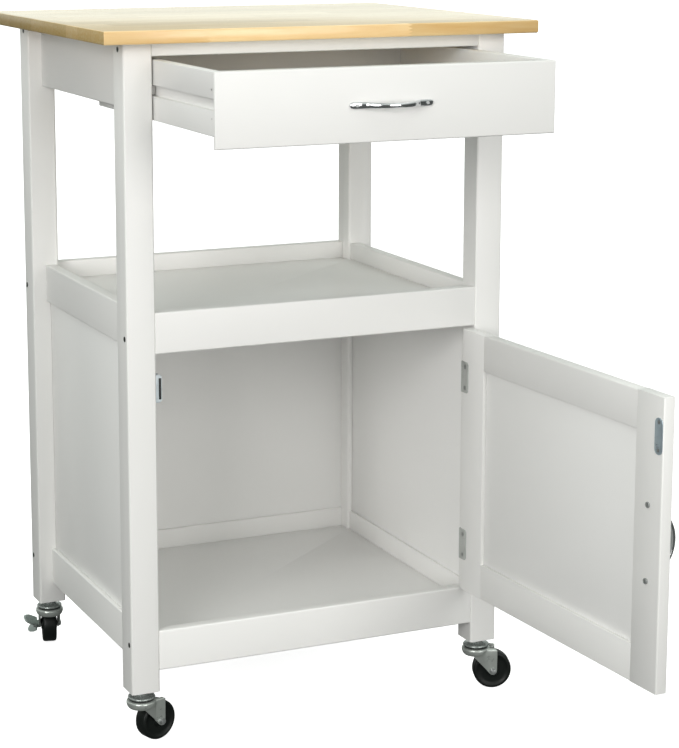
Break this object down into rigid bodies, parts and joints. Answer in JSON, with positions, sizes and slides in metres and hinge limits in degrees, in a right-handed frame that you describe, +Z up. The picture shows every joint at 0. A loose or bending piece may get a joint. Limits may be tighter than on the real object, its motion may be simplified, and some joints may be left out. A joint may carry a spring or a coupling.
{
  "type": "microwave cart",
  "caption": "Rolling microwave cart with a wooden worktop, pull-out drawer, open tray shelf and a cabinet with a hinged framed door, on braked swivel casters.",
  "frame": {"origin": "on the floor, in the middle between the four posts", "axes": "+Z up out of the worktop; the front, with drawer and door, faces -Y; +X is to the right seen from the front"},
  "size_m": [0.565, 0.8709, 0.874],
  "materials": {
    "white_paint": "satin white paint on wood",
    "white_board": "satin white paint on thin board",
    "worktop_wood": "clear lacquer on glued staves",
    "chrome": "polished",
    "zinc": "zinc plated",
    "screw_steel": "zinc plated",
    "black_plastic": "moulded black",
    "white_plastic": "moulded white",
    "magnet": "bare ferrite"
  },
  "bodies": {
    "cart": {"worktop": "worktop_wood", "post_front_left": "white_paint", "post_front_right": "white_paint", "post_back_left": "white_paint", "post_back_right": "white_paint", "apron_left": "white_paint", "apron_right": "white_paint", "top_stretcher_front": "white_paint", "top_stretcher_back": "white_paint", "drawer_runners": "white_paint", "shelf_panel": "white_board", "shelf_rail_front": "white_paint", "shelf_rail_back": "white_paint", "shelf_rail_left": "white_paint", "shelf_rail_right": "white_paint", "side_panel_left": "white_board", "side_panel_right": "white_board", "back_panel": "white_board", "floor_panel": "white_board", "base_rail_front": "white_paint", "base_rail_back": "white_paint", "base_rail_left": "white_paint", "base_rail_right": "white_paint", "frame_bolts": "zinc", "cabinet_screws": "screw_steel", "hinge_post_halves": "zinc", "catch_housing": "white_plastic", "catch_magnet": "magnet", "caster_stems": "zinc", "caster_ball_rings": "screw_steel"},
    "drawer": {"drawer_front": "white_paint", "drawer_side_left": "white_paint", "drawer_side_right": "white_paint", "drawer_back": "white_paint", "drawer_bottom": "white_board", "drawer_handle": "chrome", "drawer_screws": "screw_steel"},
    "door": {"door_stile_hinge": "white_paint", "door_stile_free": "white_paint", "door_rail_top": "white_paint", "door_rail_bottom": "white_paint", "door_panel": "white_board", "hinge_door_halves": "zinc", "door_screws": "screw_steel", "strike_plate": "zinc", "door_handle": "chrome"},
    "caster_front_left": {"caster_fork_front_left": "zinc", "caster_axle_front_left": "screw_steel"},
    "wheel_front_left": {"caster_wheel_front_left": "black_plastic"},
    "caster_front_right": {"caster_fork_front_right": "zinc", "caster_axle_front_right": "screw_steel"},
    "wheel_front_right": {"caster_wheel_front_right": "black_plastic"},
    "caster_back_left": {"caster_fork_back_left": "zinc", "caster_axle_back_left": "screw_steel"},
    "wheel_back_left": {"caster_wheel_back_left": "black_plastic"},
    "brake_back_left": {"brake_lever_back_left": "zinc"},
    "caster_back_right": {"caster_fork_back_right": "zinc", "caster_axle_back_right": "screw_steel"},
    "wheel_back_right": {"caster_wheel_back_right": "black_plastic"},
    "brake_back_right": {"brake_lever_back_right": "zinc"}
  },
  "joints": [
    {"name": "drawer_slide", "type": "slide", "parent": "cart", "child": "drawer", "axis": [0, -1, 0], "range_m": [-0.192, 0.088]},
    {"name": "door_hinge", "type": "hinge", "parent": "cart", "child": "door", "pos_m": [0.213, -0.2092, 0.317], "axis": [0, 0, 1], "range_deg": [-93, 82]},
    {"name": "swivel_front_left", "type": "hinge", "parent": "cart", "child": "caster_front_left", "pos_m": [-0.2325, -0.189, 0.057], "axis": [0, 0, 1], "continuous": true},
    {"name": "wheel_spin_front_left", "type": "hinge", "parent": "caster_front_left", "child": "wheel_front_left", "pos_m": [-0.21253, -0.18251, 0.025], "axis": [-0.309, 0.9511, 0], "continuous": true},
    {"name": "swivel_front_right", "type": "hinge", "parent": "cart", "child": "caster_front_right", "pos_m": [0.2325, -0.189, 0.057], "axis": [0, 0, 1], "continuous": true},
    {"name": "wheel_spin_front_right", "type": "hinge", "parent": "caster_front_right", "child": "wheel_front_right", "pos_m": [0.25223, -0.19618, 0.025], "axis": [0.342, 0.9397, 0], "continuous": true},
    {"name": "swivel_back_left", "type": "hinge", "parent": "cart", "child": "caster_back_left", "pos_m": [-0.2325, 0.189, 0.057], "axis": [0, 0, 1], "continuous": true},
    {"name": "wheel_spin_back_left", "type": "hinge", "parent": "caster_back_left", "child": "wheel_back_left", "pos_m": [-0.22742, 0.20938, 0.025], "axis": [-0.9703, 0.2419, 0], "continuous": true},
    {"name": "brake_back_left", "type": "hinge", "parent": "caster_back_left", "child": "brake_back_left", "pos_m": [-0.22742, 0.20938, 0.025], "axis": [-0.9703, 0.2419, 0], "range_deg": [0, 24]},
    {"name": "swivel_back_right", "type": "hinge", "parent": "cart", "child": "caster_back_right", "pos_m": [0.2325, 0.189, 0.057], "axis": [0, 0, 1], "continuous": true},
    {"name": "wheel_spin_back_right", "type": "hinge", "parent": "caster_back_right", "child": "wheel_back_right", "pos_m": [0.243, 0.20719, 0.025], "axis": [-0.866, 0.5, 0], "continuous": true},
    {"name": "brake_back_right", "type": "hinge", "parent": "caster_back_right", "child": "brake_back_right", "pos_m": [0.243, 0.20719, 0.025], "axis": [-0.866, 0.5, 0], "range_deg": [0, 24]}
  ]
}
